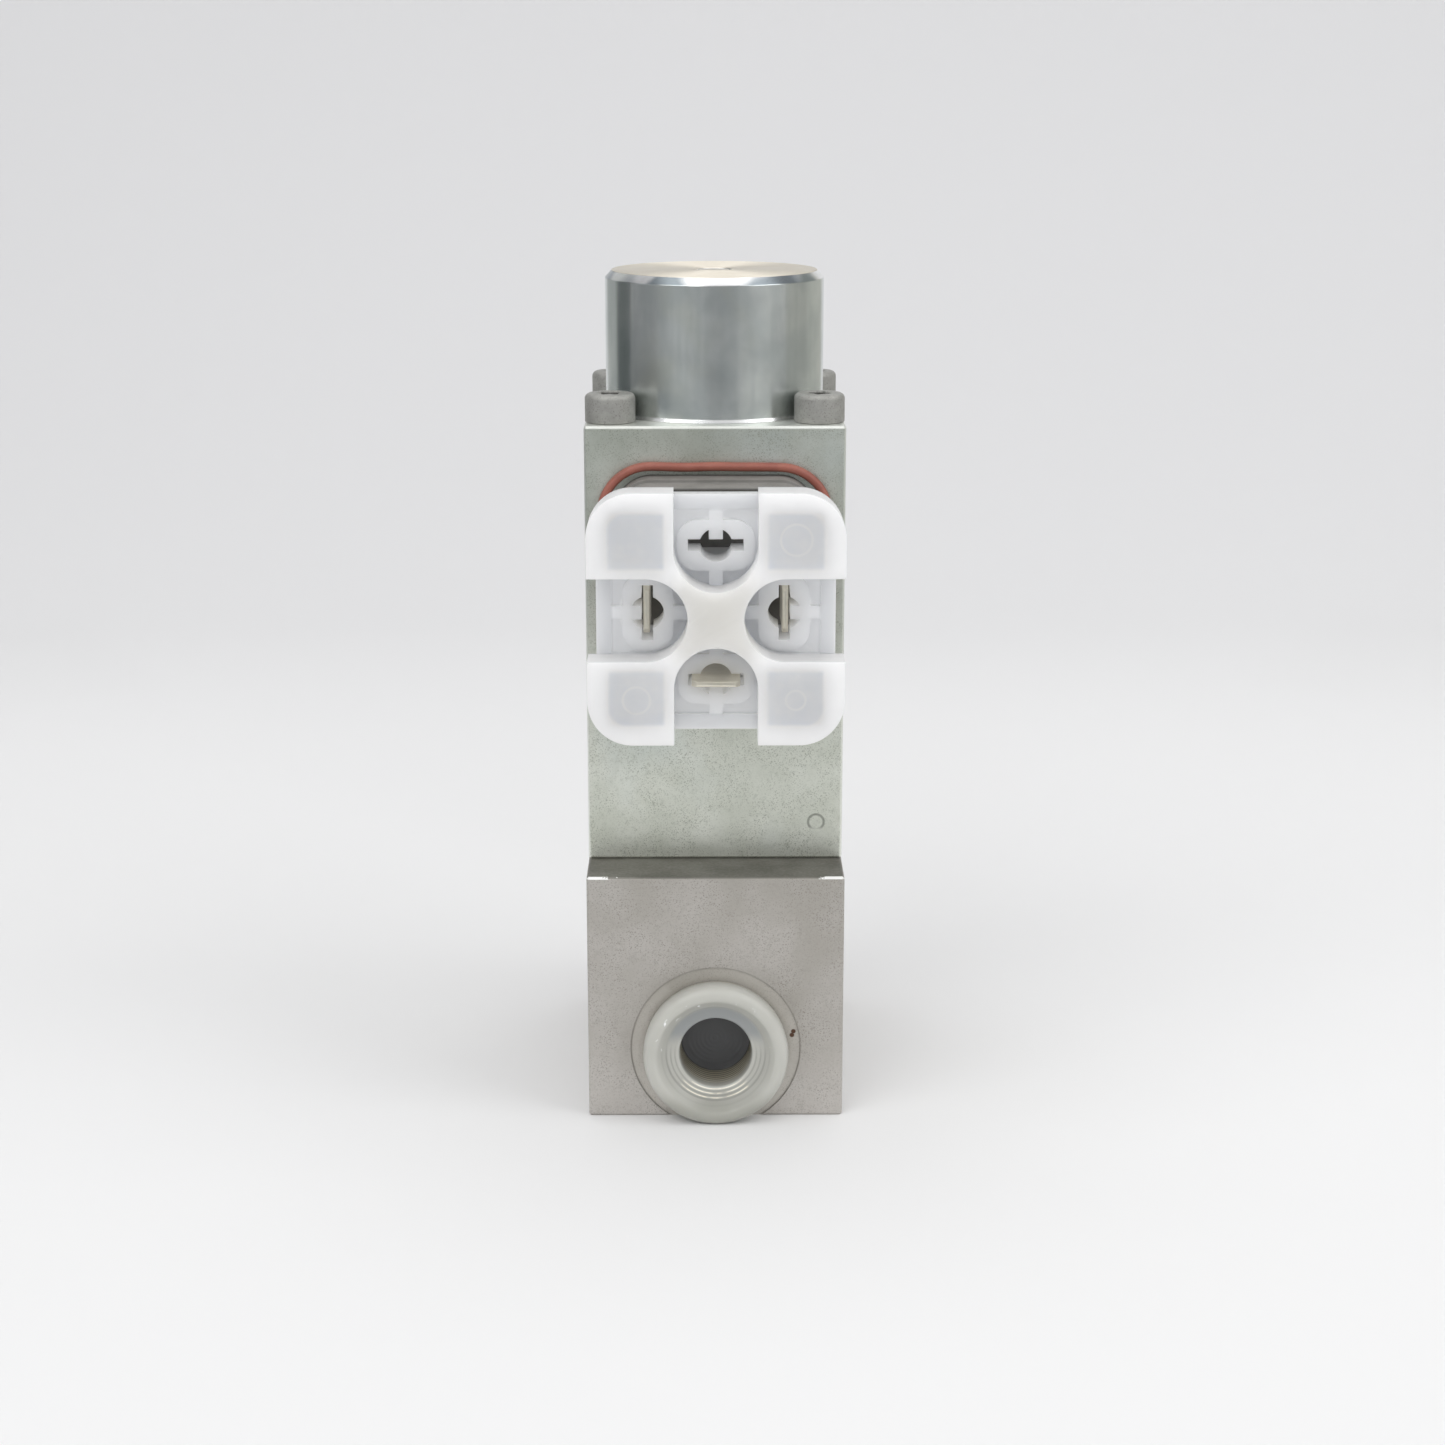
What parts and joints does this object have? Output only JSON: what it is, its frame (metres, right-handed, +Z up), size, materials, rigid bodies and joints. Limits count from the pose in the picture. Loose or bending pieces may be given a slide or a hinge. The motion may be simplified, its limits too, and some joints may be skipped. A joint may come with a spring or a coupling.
{
  "type": "solenoid valve",
  "caption": "Solenoid-operated hydraulic seat valve: square solenoid on a steel block with threaded ports, a blade connector and transport caps.",
  "frame": {"origin": "on the underside of the valve block, below the solenoid axis", "axes": "+Z up along the solenoid axis, -Y towards the connector and the front port, +X to the right seen from the connector side"},
  "size_m": [0.036, 0.077, 0.1172],
  "materials": {
    "block_steel": "satin",
    "housing_zinc": "satin",
    "cap_zinc": "polished",
    "screw_steel": "matte",
    "pin_steel": "satin",
    "plain_steel": "satin",
    "bright_steel": "polished",
    "brass": "satin",
    "copper": "satin",
    "bobbin_plastic": "matte",
    "base_plastic": "matte",
    "blade_metal": "satin",
    "gasket_silicone": "matte",
    "seal_rubber": "matte",
    "cap_plastic": "translucent",
    "plug_plastic": "translucent"
  },
  "bodies": {
    "valve": {"valve_block": "block_steel", "seat_insert": "plain_steel", "seat_seal_lower": "seal_rubber", "seat_seal_upper": "seal_rubber", "ball_spring": "bright_steel", "flange_seal": "seal_rubber", "pole_piece": "plain_steel", "rod_bush": "brass", "gap_disc": "brass", "armature_tube": "bright_steel", "tube_plug": "plain_steel", "override_seal": "seal_rubber", "end_cap": "cap_zinc", "tube_seal": "seal_rubber", "solenoid_housing": "housing_zinc", "housing_screws": "screw_steel", "lower_yoke": "plain_steel", "coil_bobbin": "bobbin_plastic", "coil_winding": "copper", "coil_leads": "copper", "connector_base": "base_plastic", "terminal_blade_left": "blade_metal", "terminal_blade_right": "blade_metal", "earth_blade": "blade_metal", "connector_nut": "brass", "connector_gasket": "gasket_silicone"},
    "armature": {"armature": "plain_steel", "push_rod": "bright_steel"},
    "ball": {"valve_ball": "bright_steel", "spring_plate": "brass"},
    "override": {"override_pin": "pin_steel"},
    "cap": {"connector_cap": "cap_plastic"},
    "front_plug": {"front_port_plug": "plug_plastic"},
    "rear_plug": {"rear_port_plug": "plug_plastic"}
  },
  "joints": [
    {"name": "armature_stroke", "type": "slide", "parent": "valve", "child": "armature", "axis": [0, 0, -1], "range_m": [0, 0.002], "stiffness_N_per_m": 2400, "springref_m": -0.001},
    {"name": "ball_lift", "type": "slide", "parent": "valve", "child": "ball", "axis": [0, 0, -1], "range_m": [0, 0.002], "deforming": ["ball_spring"]},
    {"name": "override_stroke", "type": "slide", "parent": "valve", "child": "override", "axis": [0, 0, -1], "range_m": [0, 0.002]},
    {"name": "cap_pull", "type": "slide", "parent": "valve", "child": "cap", "axis": [0, -1, 0], "range_m": [0, 0.03]},
    {"name": "front_plug_pull", "type": "slide", "parent": "valve", "child": "front_plug", "axis": [0, -1, 0], "range_m": [0, 0.02]},
    {"name": "rear_plug_pull", "type": "slide", "parent": "valve", "child": "rear_plug", "axis": [0, 1, 0], "range_m": [0, 0.02]}
  ],
  "couplings": [
    {"joint": "ball_lift", "follows": "armature_stroke", "ratio": 1},
    {"joint": "override_stroke", "follows": "armature_stroke", "ratio": 1}
  ]
}
